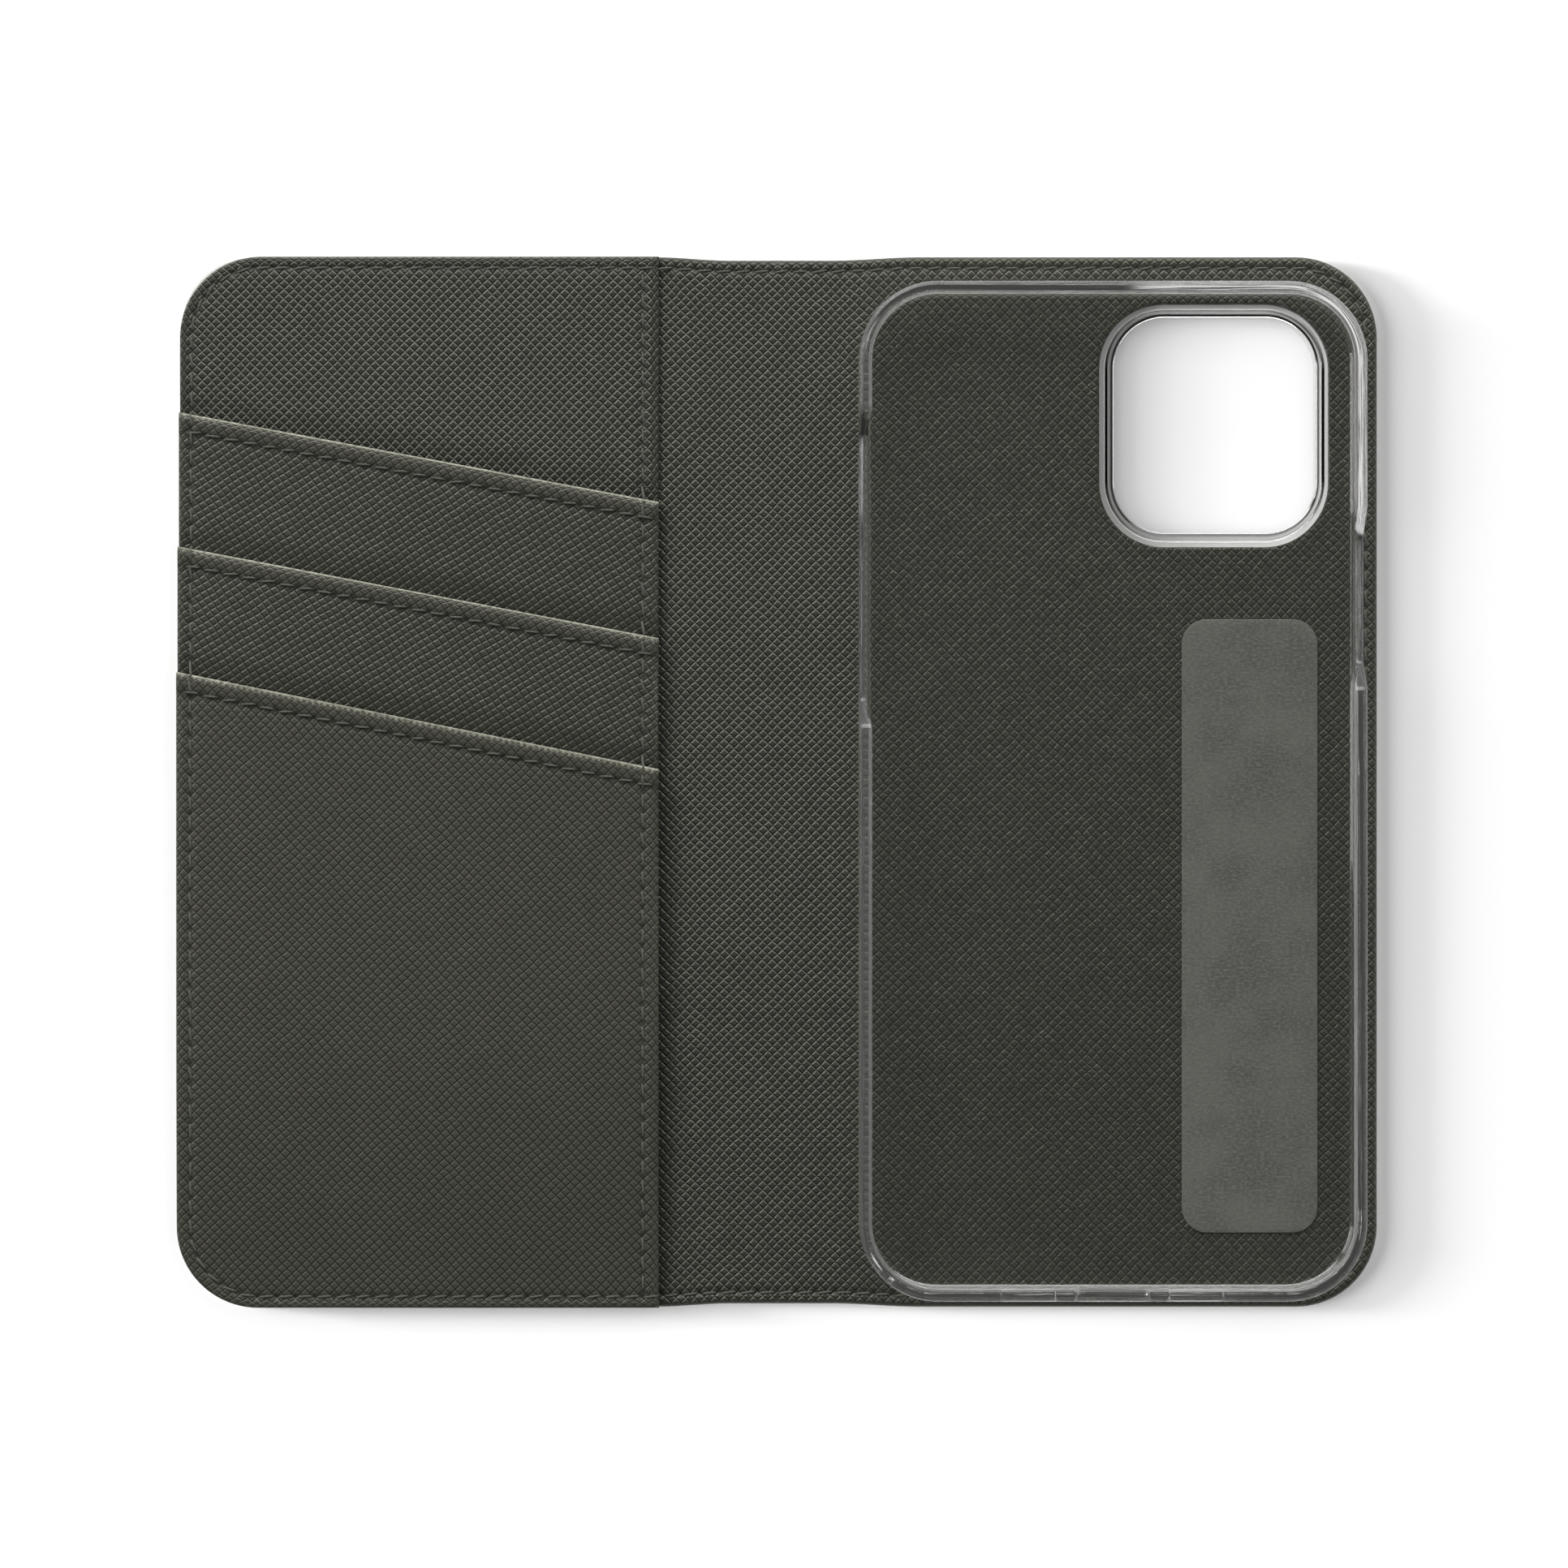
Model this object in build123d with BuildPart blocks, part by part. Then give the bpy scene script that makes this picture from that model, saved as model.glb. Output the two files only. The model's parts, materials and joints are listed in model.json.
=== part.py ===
"""Folio phone wallet case with a clear snap-in shell, three card pockets and a bill pocket.

The case lies open and flat with its inside up. X runs across both covers, from the front cover
(negative) over the spine to the back cover, which carries the shell. Y runs from the case's bottom
edge to its top edge, and Z is up. The origin is the middle of the open case, on the table.
Every length is in millimetres.
"""

import os

from build123d import *

# ---- the phone that the shell holds -------------------------------------------------------
phone_width = 71.5
phone_length = 146.7
phone_thickness = 7.4
phone_corner = 10.0

# ---- the covers ---------------------------------------------------------------------------
case_width = 177.8  # both covers and the spine, open
case_length = 155.7
case_corner = 12.0
spine_width = 15.0  # between the two crease axes
crease_half_gap = 1.5  # each rigid slab ends this far from its crease axis
skin_thickness = 0.8
board_thickness = 0.8
lining_thickness = 0.8
spine_board_thickness = 0.6
board_margin = 3.4  # from the edge of the cover to the edge of the board
board_crease_margin = 0.8
cover_inset = 0.4  # the front cover's side stops this far inside the lower pocket's

# ---- the pocket panels, from the base panel up ----------------------------------------------
panel_thickness = 0.5
pocket_gap = 0.15  # the air in a pocket that holds nothing
panel_edge_x = -17.55  # the free edge beside the spine
panel_insets = (0.35, 0.25, 0.12, 0.0)  # the same for the base panel and each pocket
mouth_left_y = (54.8, 34.9, 16.3)  # each slanted mouth, where it meets the left edge
mouth_drop = 13.6  # how far a mouth falls on its way to the free edge
pocket_floor_y = (-38.6, -58.6)  # the hidden lower edges of the upper and middle pockets
seam_margin = 3.0  # the sewn-down width along a panel's edges

# ---- the thread -----------------------------------------------------------------------------
seam_inset = 1.75  # from the edge to the middle of the thread
thread_width = 0.5
thread_depth = 0.25
edge_seam_x = panel_edge_x - 2.05
mouth_seam_offset = 2.6
floor_seam_offset = 1.5

# ---- the shell ------------------------------------------------------------------------------
phone_clearance = 0.15
shell_wall = 1.45
shell_floor = 1.1
lip_overhang = 0.5
lip_height = 0.5
shell_center = (49.3, -1.35)
shell_base_round = 2.6
bay_floor_round = 1.6
lip_round = 0.3

# ---- the bond strip between the shell and the lining ----------------------------------------
strip_width = 20.1
strip_length = 90.9
strip_thickness = 0.3
strip_corner = 3.7
strip_center = (69.95, -21.35)

# ---- the camera window ----------------------------------------------------------------------
camera_center = (64.7, 52.8)
camera_cut_width = 34.0  # the hole in the leather
camera_cut_length = 36.0
camera_cut_corner = 9.6
board_camera_margin = 2.0
collar_gap = 0.85  # between the leather and the shell's camera collar
collar_wall = 1.25
collar_foot_z = 0.2

# ---- the cut-outs in the shell's walls ------------------------------------------------------
button_floor = 1.8  # what is left of the wall below a button notch, above the bay's floor
notch_ramp = 4.8
volume_notch_y = (7.8, 54.7)  # at the rim
power_notch_y = (13.3, 40.8)
port_width = 11.5
port_height = 5.4
port_corner = 1.5
speaker_width = 8.6
speaker_height = 2.2
speaker_offset = 12.4

# ---- worked out -----------------------------------------------------------------------------
board_z = skin_thickness
cover_top = skin_thickness + board_thickness + lining_thickness
crease_x = spine_width / 2
slab_end_x = crease_x + crease_half_gap
web_end_x = crease_x - crease_half_gap
half_width = case_width / 2
shell_z = cover_top + strip_thickness
bay_z = shell_z + shell_floor
phone_top = bay_z + phone_thickness
rim_z = phone_top + lip_height
bay_width = phone_width + 2 * phone_clearance
bay_length = phone_length + 2 * phone_clearance
bay_corner = phone_corner + phone_clearance
shell_width = bay_width + 2 * shell_wall
shell_length = bay_length + 2 * shell_wall
layer = panel_thickness + pocket_gap
beyond = 2 * case_width  # longer than anything, for a cut that has to run right through
pocket_names = ("upper", "middle", "lower")


def cover_area(low_x, high_x, inset=0.0, left_inset=cover_inset):
    """The open case's outline between two places along X.

    It is set in by inset all round, and by left_inset more on the front cover's far side.
    """
    with BuildSketch(mode=Mode.PRIVATE) as area:
        with Locations((left_inset / 2, 0)):
            RectangleRounded(
                case_width - left_inset - 2 * inset, case_length - 2 * inset, case_corner - inset
            )
        with Locations(((low_x + high_x) / 2, 0)):
            Rectangle(high_x - low_x, beyond, mode=Mode.INTERSECT)
    return area.sketch


def seam_area(low_x, high_x):
    """The thread's track around the edge of the case, between two places along X."""
    with BuildSketch(mode=Mode.PRIVATE) as area:
        add(cover_area(low_x, high_x, seam_inset - thread_width / 2))
        add(cover_area(low_x - 1, high_x + 1, seam_inset + thread_width / 2), mode=Mode.SUBTRACT)
    return area.sketch


def camera_area(margin=0.0):
    """The camera hole in the leather, made larger by margin on every side."""
    with BuildSketch(mode=Mode.PRIVATE) as area:
        with Locations(camera_center):
            RectangleRounded(
                camera_cut_width + 2 * margin,
                camera_cut_length + 2 * margin,
                camera_cut_corner + margin,
            )
    return area.sketch


def block(area, low_z, high_z):
    """A solid that stands on an area, from low_z to high_z."""
    with BuildPart(mode=Mode.PRIVATE) as solid:
        with BuildSketch(Plane.XY.offset(low_z)):
            add(area)
        extrude(amount=high_z - low_z)
    return solid.part


def save(part, name):
    """Labels a finished piece and writes it as a node of that name."""
    part.label = name
    export_step(part, f"parts/{name}.step")


# ---- pocket panels ----------------------------------------------------------------------------


def below_mouth(index, drop_below=0.0):
    """Everything under a pocket's slanted mouth, or under a line parallel to it."""
    slope = mouth_drop / (panel_edge_x + half_width)
    left_y = mouth_left_y[index] - drop_below
    with BuildSketch(mode=Mode.PRIVATE) as area:
        with BuildLine():
            Polyline(
                (-half_width - 5, left_y + 5 * slope),
                (panel_edge_x + 5, left_y - mouth_drop - 5 * slope),
                (panel_edge_x + 5, -case_length),
                (-half_width - 5, -case_length),
                close=True,
            )
        make_face()
    return area.sketch


def panel_area(level):
    """A panel's cut outline. Level 0 is the base panel and 1 to 3 are the pockets."""
    with BuildSketch(mode=Mode.PRIVATE) as area:
        add(cover_area(-half_width, panel_edge_x, left_inset=panel_insets[level]))
        if level:
            add(below_mouth(level - 1), mode=Mode.INTERSECT)
        if 0 < level <= len(pocket_floor_y):
            floor_y = pocket_floor_y[level - 1]
            with Locations((0, floor_y - case_length)):
                Rectangle(beyond, 2 * case_length, mode=Mode.SUBTRACT)
    return area.sketch


def shown_area(level):
    """The part of a panel that the next pocket doesn't cover."""
    with BuildSketch(mode=Mode.PRIVATE) as area:
        add(panel_area(level))
        if level < len(mouth_left_y):
            add(below_mouth(level), mode=Mode.SUBTRACT)
    return area.sketch


def hidden_floor_drape(under_z, over_z, floor_y):
    """The two places where a panel leaves one level and reaches a lower one past a hidden edge."""
    return [(floor_y - 1.0, over_z), (floor_y - 6.0, under_z)]


base_top = cover_top + layer  # the base panel's upper face
upper_floor_y, middle_floor_y = pocket_floor_y
far_y = case_length  # past every edge
undersides = (
    [(far_y, cover_top + pocket_gap), (-far_y, cover_top + pocket_gap)],
    [(far_y, base_top + pocket_gap), (-far_y, base_top + pocket_gap)],
    [
        (far_y, base_top + layer + pocket_gap),
        *hidden_floor_drape(base_top + pocket_gap, base_top + layer + pocket_gap, upper_floor_y),
        (-far_y, base_top + pocket_gap),
    ],
    [
        (far_y, base_top + 2 * layer + pocket_gap),
        *hidden_floor_drape(
            base_top + layer + pocket_gap, base_top + 2 * layer + pocket_gap, upper_floor_y
        ),
        *hidden_floor_drape(base_top + pocket_gap, base_top + layer + pocket_gap, middle_floor_y),
        (-far_y, base_top + pocket_gap),
    ],
)


def raised(line, height):
    """A line of (y, z) points, moved up."""
    return [(y, z + height) for y, z in line]


def layer_between(lower, upper, area):
    """The solid over an area whose lower and upper faces follow two lines of (y, z) points."""
    with BuildPart(mode=Mode.PRIVATE) as solid:
        with BuildSketch(Plane.YZ.offset(-half_width - 5)):
            with BuildLine():
                Polyline(*lower, *reversed(upper), close=True)
            make_face()
        extrude(amount=half_width + 5)
        add(block(area, -1, rim_z), mode=Mode.INTERSECT)
    return solid.part


def support(level):
    """The (y, z) line of the faces that a panel lies on where it is sewn down."""
    if level == 0:
        return [(far_y, cover_top), (-far_y, cover_top)]
    below = raised(undersides[level - 1], panel_thickness)
    if level == 1:
        return below
    floor_y = pocket_floor_y[level - 2]
    kept = [(y, z) for y, z in below if y > floor_y]
    return [*kept, (floor_y, below[-1][1]), (floor_y, base_top), (-far_y, base_top)]


def sewn_margin(level):
    """The strip along a panel's left and lower edges that is sewn to what it lies on.

    The base panel's right edge stays open for notes, and a pocket's right edge is sewn as well.
    """
    with BuildSketch(mode=Mode.PRIVATE) as area:
        add(panel_area(level))
        right = 0.0 if level == 0 else seam_margin
        top = case_length / 2 - seam_margin if level == 0 else far_y
        low = -case_length / 2 + seam_margin
        if 0 < level <= len(pocket_floor_y):
            low = pocket_floor_y[level - 1] + seam_margin
        left = -half_width + panel_insets[level] + seam_margin
        center = ((left + panel_edge_x - right) / 2, (low + top) / 2)
        with Locations(center):
            Rectangle(panel_edge_x - right - left + 2 * (level == 0), top - low, mode=Mode.SUBTRACT)
    return area.sketch


def face_track(level, area):
    """The thread's solid in the upper face of a panel, over an area."""
    top = raised(undersides[level], panel_thickness)
    return layer_between(raised(top, -thread_depth), top, area)


def strip_along_mouth(index):
    """The thread's track below a pocket's mouth."""
    with BuildSketch(mode=Mode.PRIVATE) as area:
        add(below_mouth(index, mouth_seam_offset - thread_width / 2))
        add(below_mouth(index, mouth_seam_offset + thread_width / 2), mode=Mode.SUBTRACT)
    return area.sketch


def edge_seam_area():
    """The thread's track along the panels' free edge."""
    with BuildSketch(mode=Mode.PRIVATE) as area:
        with Locations((edge_seam_x, 0)):
            Rectangle(thread_width, case_length - 2 * seam_inset - thread_width)
    return area.sketch


def crossing_seams_area():
    """The edge and perimeter tracks together, which other seams stop at."""
    with BuildSketch(mode=Mode.PRIVATE) as area:
        add(seam_area(-half_width, panel_edge_x))
        add(edge_seam_area())
    return area.sketch


os.makedirs("parts", exist_ok=True)

# ---- thread: each track is filled by its thread, flush with the leather ---------------------

with BuildPart() as thread_back_perimeter:
    add(block(seam_area(slab_end_x, half_width), cover_top - thread_depth, cover_top))
    add(block(seam_area(slab_end_x, half_width), 0, thread_depth))

with BuildPart() as thread_spine_ends:
    add(block(seam_area(-web_end_x, web_end_x), cover_top - thread_depth, cover_top))
    add(block(seam_area(-web_end_x, web_end_x), 0, thread_depth))

with BuildPart() as thread_front_perimeter:
    add(block(seam_area(panel_edge_x, -slab_end_x), cover_top - thread_depth, cover_top))
    add(block(seam_area(-half_width, -slab_end_x), 0, thread_depth))
    for level in range(len(undersides)):
        with BuildSketch(mode=Mode.PRIVATE) as track:
            add(seam_area(-half_width, panel_edge_x))
            add(shown_area(level), mode=Mode.INTERSECT)
        add(face_track(level, track.sketch))

with BuildPart() as thread_panel_edge:
    for level in range(len(undersides)):
        with BuildSketch(mode=Mode.PRIVATE) as track:
            add(edge_seam_area())
            add(shown_area(level), mode=Mode.INTERSECT)
        add(face_track(level, track.sketch))

mouth_threads = {}
for index, pocket in enumerate(pocket_names):
    with BuildPart() as mouth_thread:
        with BuildSketch(mode=Mode.PRIVATE) as track:
            add(strip_along_mouth(index))
            add(panel_area(index + 1), mode=Mode.INTERSECT)
            add(crossing_seams_area(), mode=Mode.SUBTRACT)
        add(face_track(index + 1, track.sketch))
    mouth_threads[pocket] = mouth_thread.part

floor_threads = {}
for index, floor_y in enumerate(pocket_floor_y):
    with BuildPart() as floor_thread:
        with BuildSketch(mode=Mode.PRIVATE) as track:
            with Locations((0, floor_y + floor_seam_offset)):
                Rectangle(beyond, thread_width)
            add(panel_area(index + 1), mode=Mode.INTERSECT)
        add(face_track(index + 1, track.sketch))
    floor_threads[pocket_names[index]] = floor_thread.part

# ---- back cover -----------------------------------------------------------------------------

with BuildPart() as back_skin:
    with BuildSketch():
        add(cover_area(slab_end_x, half_width))
        add(camera_area(), mode=Mode.SUBTRACT)
    extrude(amount=skin_thickness)
    add(thread_back_perimeter.part, mode=Mode.SUBTRACT)

with BuildPart() as back_board:
    with BuildSketch(Plane.XY.offset(board_z)):
        add(cover_area(slab_end_x + board_crease_margin, half_width, board_margin))
        add(camera_area(board_camera_margin), mode=Mode.SUBTRACT)
    extrude(amount=board_thickness)

with BuildPart() as back_lining:
    with BuildSketch(Plane.XY.offset(board_z)):
        add(cover_area(slab_end_x, half_width))
        add(camera_area(), mode=Mode.SUBTRACT)
    extrude(amount=cover_top - board_z)
    add(back_board.part, mode=Mode.SUBTRACT)
    add(thread_back_perimeter.part, mode=Mode.SUBTRACT)

with BuildPart() as bond_strip:
    with BuildSketch(Plane.XY.offset(cover_top)):
        with Locations(strip_center):
            RectangleRounded(strip_width, strip_length, strip_corner)
    extrude(amount=strip_thickness)

# ---- shell ------------------------------------------------------------------------------------

with BuildPart() as phone_bay:
    with BuildSketch(Plane.XY.offset(bay_z)):
        with Locations(shell_center):
            RectangleRounded(bay_width, bay_length, bay_corner)
    extrude(amount=phone_thickness)
    fillet(phone_bay.faces().sort_by(Axis.Z)[0].edges(), bay_floor_round)
    with BuildSketch(Plane.XY.offset(phone_top)):
        with Locations(shell_center):
            RectangleRounded(
                bay_width - 2 * lip_overhang,
                bay_length - 2 * lip_overhang,
                bay_corner - lip_overhang,
            )
    extrude(amount=lip_height)


def button_notch(side, low_y, high_y):
    """The cut for a row of buttons in one side wall, with a ramp at each end. Side is -1 or 1."""
    wall_x = shell_center[0] + side * (bay_width / 2 - 1)
    notch_z = bay_z + button_floor
    ramp_end = notch_ramp * (rim_z + 1 - notch_z) / (rim_z - notch_z) - notch_ramp
    with BuildPart(mode=Mode.PRIVATE) as cut:
        with BuildSketch(Plane.YZ.offset(wall_x)):
            with BuildLine():
                Polyline(
                    (low_y - ramp_end, rim_z + 1),
                    (low_y + notch_ramp, notch_z),
                    (high_y - notch_ramp, notch_z),
                    (high_y + ramp_end, rim_z + 1),
                    close=True,
                )
            make_face()
        extrude(amount=side * (shell_wall + 3))
        fillet(cut.edges().filter_by(Axis.X).group_by(Axis.Z)[0], 1.2)
    return cut.part


def end_window(offset_x, width, height, corner):
    """A window through the shell's lower wall, offset_x from the middle of the phone."""
    middle_z = bay_z + phone_thickness / 2
    wall_y = shell_center[1] - bay_length / 2
    with BuildPart(mode=Mode.PRIVATE) as cut:
        with BuildSketch(Plane.XZ.offset(-wall_y - 2)):
            with Locations((shell_center[0] + offset_x, middle_z)):
                RectangleRounded(width, height, corner)
        extrude(amount=shell_wall + 4)
    return cut.part


with BuildPart() as shell_body:
    with BuildSketch(Plane.XY.offset(shell_z)):
        with Locations(shell_center):
            RectangleRounded(shell_width, shell_length, bay_corner + shell_wall)
    extrude(amount=rim_z - shell_z)
    fillet(shell_body.faces().sort_by(Axis.Z)[0].edges(), shell_base_round)
    fillet(shell_body.faces().sort_by(Axis.Z)[-1].edges(), lip_round)

with BuildPart() as phone_shell:
    add(shell_body.part)
    add(phone_bay.part, mode=Mode.SUBTRACT)
    with BuildSketch(Plane.XY.offset(collar_foot_z)):
        add(camera_area(-collar_gap))
    extrude(amount=bay_z - collar_foot_z)
    with BuildSketch(Plane.XY.offset(collar_foot_z)):
        add(camera_area(-collar_gap - collar_wall))
    extrude(amount=bay_z - collar_foot_z, mode=Mode.SUBTRACT)
    add(button_notch(-1, *volume_notch_y), mode=Mode.SUBTRACT)
    add(button_notch(1, *power_notch_y), mode=Mode.SUBTRACT)
    add(end_window(0, port_width, port_height, port_corner), mode=Mode.SUBTRACT)
    for side in (-1, 1):
        speaker = end_window(
            side * speaker_offset, speaker_width, speaker_height, 0.45 * speaker_height
        )
        add(speaker, mode=Mode.SUBTRACT)

# ---- spine ------------------------------------------------------------------------------------

with BuildPart() as spine_skin:
    with BuildSketch():
        add(cover_area(-web_end_x, web_end_x))
    extrude(amount=skin_thickness)
    add(thread_spine_ends.part, mode=Mode.SUBTRACT)

with BuildPart() as spine_board:
    with BuildSketch(Plane.XY.offset(board_z)):
        board_end_x = web_end_x - board_crease_margin
        add(cover_area(-board_end_x, board_end_x, board_margin))
    extrude(amount=spine_board_thickness)

with BuildPart() as spine_lining:
    with BuildSketch(Plane.XY.offset(board_z)):
        add(cover_area(-web_end_x, web_end_x))
    extrude(amount=cover_top - board_z)
    add(spine_board.part, mode=Mode.SUBTRACT)
    add(thread_spine_ends.part, mode=Mode.SUBTRACT)

crease_webs = {}
for crease, middle_x in (("back_crease", crease_x), ("front_crease", -crease_x)):
    web = cover_area(middle_x - crease_half_gap, middle_x + crease_half_gap)
    crease_webs[f"{crease}_skin"] = block(web, 0, skin_thickness)
    crease_webs[f"{crease}_lining"] = block(web, board_z, cover_top)

# ---- front cover ------------------------------------------------------------------------------

with BuildPart() as front_skin:
    with BuildSketch():
        add(cover_area(-half_width, -slab_end_x))
    extrude(amount=skin_thickness)
    add(thread_front_perimeter.part, mode=Mode.SUBTRACT)

with BuildPart() as front_board:
    with BuildSketch(Plane.XY.offset(board_z)):
        add(cover_area(-half_width, -slab_end_x - board_crease_margin, board_margin))
    extrude(amount=board_thickness)

with BuildPart() as front_lining:
    with BuildSketch(Plane.XY.offset(board_z)):
        add(cover_area(-half_width, -slab_end_x))
    extrude(amount=cover_top - board_z)
    add(front_board.part, mode=Mode.SUBTRACT)
    add(thread_front_perimeter.part, mode=Mode.SUBTRACT)

panels = []
for level, underside in enumerate(undersides):
    with BuildPart() as panel:
        add(layer_between(underside, raised(underside, panel_thickness), panel_area(level)))
        add(layer_between(support(level), raised(underside, panel_thickness / 2), sewn_margin(level)))
        add(thread_front_perimeter.part, mode=Mode.SUBTRACT)
        add(thread_panel_edge.part, mode=Mode.SUBTRACT)
        if level:
            pocket = pocket_names[level - 1]
            add(mouth_threads[pocket], mode=Mode.SUBTRACT)
            if pocket in floor_threads:
                add(floor_threads[pocket], mode=Mode.SUBTRACT)
    panels.append(panel.part)

# ---- every piece, written as its own node ---------------------------------------------------

save(back_skin.part, "back_outer_skin")
save(back_board.part, "back_stiffener_board")
save(back_lining.part, "back_lining")
save(bond_strip.part, "shell_bond_strip")
save(phone_shell.part, "phone_shell")
save(thread_back_perimeter.part, "thread_back_perimeter")
save(spine_skin.part, "spine_outer_skin")
save(spine_board.part, "spine_stiffener_strip")
save(spine_lining.part, "spine_lining")
save(thread_spine_ends.part, "thread_spine_ends")
save(front_skin.part, "front_outer_skin")
save(front_board.part, "front_stiffener_board")
save(front_lining.part, "front_lining")
save(thread_front_perimeter.part, "thread_front_perimeter")
save(thread_panel_edge.part, "thread_panel_edge")
save(panels[0], "pocket_base_panel")
for pocket, panel in zip(pocket_names, panels[1:]):
    save(panel, f"card_pocket_{pocket}")
for pocket, thread in mouth_threads.items():
    save(thread, f"thread_mouth_{pocket}")
for pocket, thread in floor_threads.items():
    save(thread, f"thread_floor_{pocket}")
for name, web in crease_webs.items():
    save(web, name)
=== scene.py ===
"""The looks of an open phone wallet case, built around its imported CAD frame.

Shapes are worked out in millimetres, in the frame's own axes, and become metres when a mesh is made.
Each leather piece lies where its CAD solid lies: the CAD boxes give its edges and its level.
"""

import json
from functools import partial
from math import ceil, cos, hypot, pi, radians, sin, sqrt

import bpy
import numpy as np
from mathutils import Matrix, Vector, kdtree
from mathutils.geometry import delaunay_2d_cdt


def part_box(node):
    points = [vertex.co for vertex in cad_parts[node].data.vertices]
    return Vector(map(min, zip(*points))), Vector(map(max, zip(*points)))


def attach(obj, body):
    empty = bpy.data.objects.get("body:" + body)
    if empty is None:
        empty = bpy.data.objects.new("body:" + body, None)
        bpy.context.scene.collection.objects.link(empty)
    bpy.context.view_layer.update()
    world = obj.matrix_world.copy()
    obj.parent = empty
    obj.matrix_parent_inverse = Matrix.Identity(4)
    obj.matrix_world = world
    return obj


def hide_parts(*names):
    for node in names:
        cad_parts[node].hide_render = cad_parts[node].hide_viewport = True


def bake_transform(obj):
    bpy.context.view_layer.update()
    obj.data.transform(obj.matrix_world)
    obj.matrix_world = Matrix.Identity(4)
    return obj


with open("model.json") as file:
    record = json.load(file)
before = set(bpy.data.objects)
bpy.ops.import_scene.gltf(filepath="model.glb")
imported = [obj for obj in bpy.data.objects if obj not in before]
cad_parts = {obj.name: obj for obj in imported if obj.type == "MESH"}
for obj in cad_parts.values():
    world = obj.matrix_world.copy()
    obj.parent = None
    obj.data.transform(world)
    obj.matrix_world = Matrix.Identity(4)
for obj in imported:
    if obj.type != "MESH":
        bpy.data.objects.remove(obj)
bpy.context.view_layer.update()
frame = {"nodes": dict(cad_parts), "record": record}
random = np.random.default_rng(45)

MM = 0.001
scene = bpy.context.scene


def low(node):
    """The lowest corner of a CAD node, in millimetres."""
    return np.array(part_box(node)[0]) / MM


def high(node):
    """The highest corner of a CAD node, in millimetres."""
    return np.array(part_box(node)[1]) / MM


def mount(name):
    """The place of a mount, in millimetres."""
    found = next(m for m in frame["record"]["mounts"] if m["name"] == name)
    return np.array(found["pos_m"]) / MM


# ---- sizes that the CAD boxes don't give ----
CASE_CORNER = 12.0
SKIN_CORNER = 10.6  # the outer leather is cut fuller than the lining at the front cover's corners
MOUTH_DROPS = (13.3, 13.6, 14.4)  # how far each mouth falls on its way to the free edge
FOLD_ROUND = 0.26
HEM_HEIGHT = 0.22  # the extra thickness where a mouth's edge is folded under
PANEL_THICKNESS = 0.5
MOUTH_SEAM = 2.6  # from a mouth's fold to its stitches
EDGE_SEAM = 2.35  # from the panels' free edge to its stitches
SEAM_INSET = 1.7
STITCH_PITCH = 2.85
STITCH_LENGTH = 2.6
THREAD_RADIUS = 0.165
STITCH_SKEW = 0.16
STITCH_SINK = 0.15  # how deep the stitches press into the leather
GROOVE_WIDTH = 0.5  # the groove that a seam draws into the leather
HOLE_DEPTH = 0.16
HOLE_WIDTH = 0.38
WAIST = 0.5  # how far the soft spine draws in at each end
CAMERA_CUT = np.array((34.0, 36.0))
CAMERA_CORNER = 9.6
COLLAR_GAP = 0.85
COLLAR_WALL = 1.25
GRAIN_PITCH = 1.013
MOUTH_DIP = 0.22  # how far a panel sinks where it goes under the mouth of the one above
FLOOR_SPREAD = 34.0  # the length over which a panel comes down past a hidden pocket's floor
LINING_ROLL = 0.75  # the rounding of each sheet's edge
SKIN_ROLL = 0.55
CUT_ROLL = 0.3
PANEL_ROLL = 0.3
STRIP_ROLL = 0.12
SKIN_GROOVE = 0.34  # the underside's stitches lie in it, so that they don't stand on the table
STRIP_CORNER = 3.7
BOARD_EDGE = (2.4, 3.3)  # the depths between which the lining climbs on to a board
BOARD_CUT_ROOM = 1.4  # how much nearer the board comes to the camera's cut than to the edge

# ---- places that they do give ----
PANELS = ("pocket_base_panel", "card_pocket_upper", "card_pocket_middle", "card_pocket_lower")
POCKETS = PANELS[1:]
case_low = low("back_outer_skin")[:2] * (0, 1) + (low("front_lining")[0], 0)
case_high = high("back_lining")[:2]
skin_top = high("back_outer_skin")[2]
board_top = high("back_stiffener_board")[2]
cover_top = high("back_lining")[2]
panel_right = high("pocket_base_panel")[0]
camera_middle = mount("camera_window")[:2]


# ---- small shapes of numbers ----


def smooth(start, end, value):
    """0 up to start, 1 from end, and an even curve between them."""
    t = np.clip((value - start) / (end - start), 0, 1)
    return t * t * (3 - 2 * t)


def hump(distance, width):
    """A soft bump, 1 high."""
    return np.exp(-((distance / width) ** 2))


def rolled(depth, radius):
    """How far a rounded edge has dropped, at a depth in from the edge."""
    t = np.clip(1 - depth / radius, 0, 1)
    return radius * (1 - np.sqrt(1 - t * t))


def clipped(points, normal, reach):
    """A convex polygon without what lies further than reach along normal."""
    kept = []
    for a, b in zip(points, points[1:] + points[:1]):
        over_a = a @ normal - reach
        over_b = b @ normal - reach
        if over_a <= 0:
            kept.append(a)
        if over_a * over_b < 0:
            kept.append(a + (b - a) * (over_a / (over_a - over_b)))
    return kept


def divided(points, step):
    """A polygon's corners, with more points along its sides."""
    out = []
    for a, b in zip(points, points[1:] + points[:1]):
        length = np.linalg.norm(b - a)
        if length > 0.001:
            pieces = max(1, round(length / step))
            out += [a + (b - a) * i / pieces for i in range(pieces)]
    return np.array(out)


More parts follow.
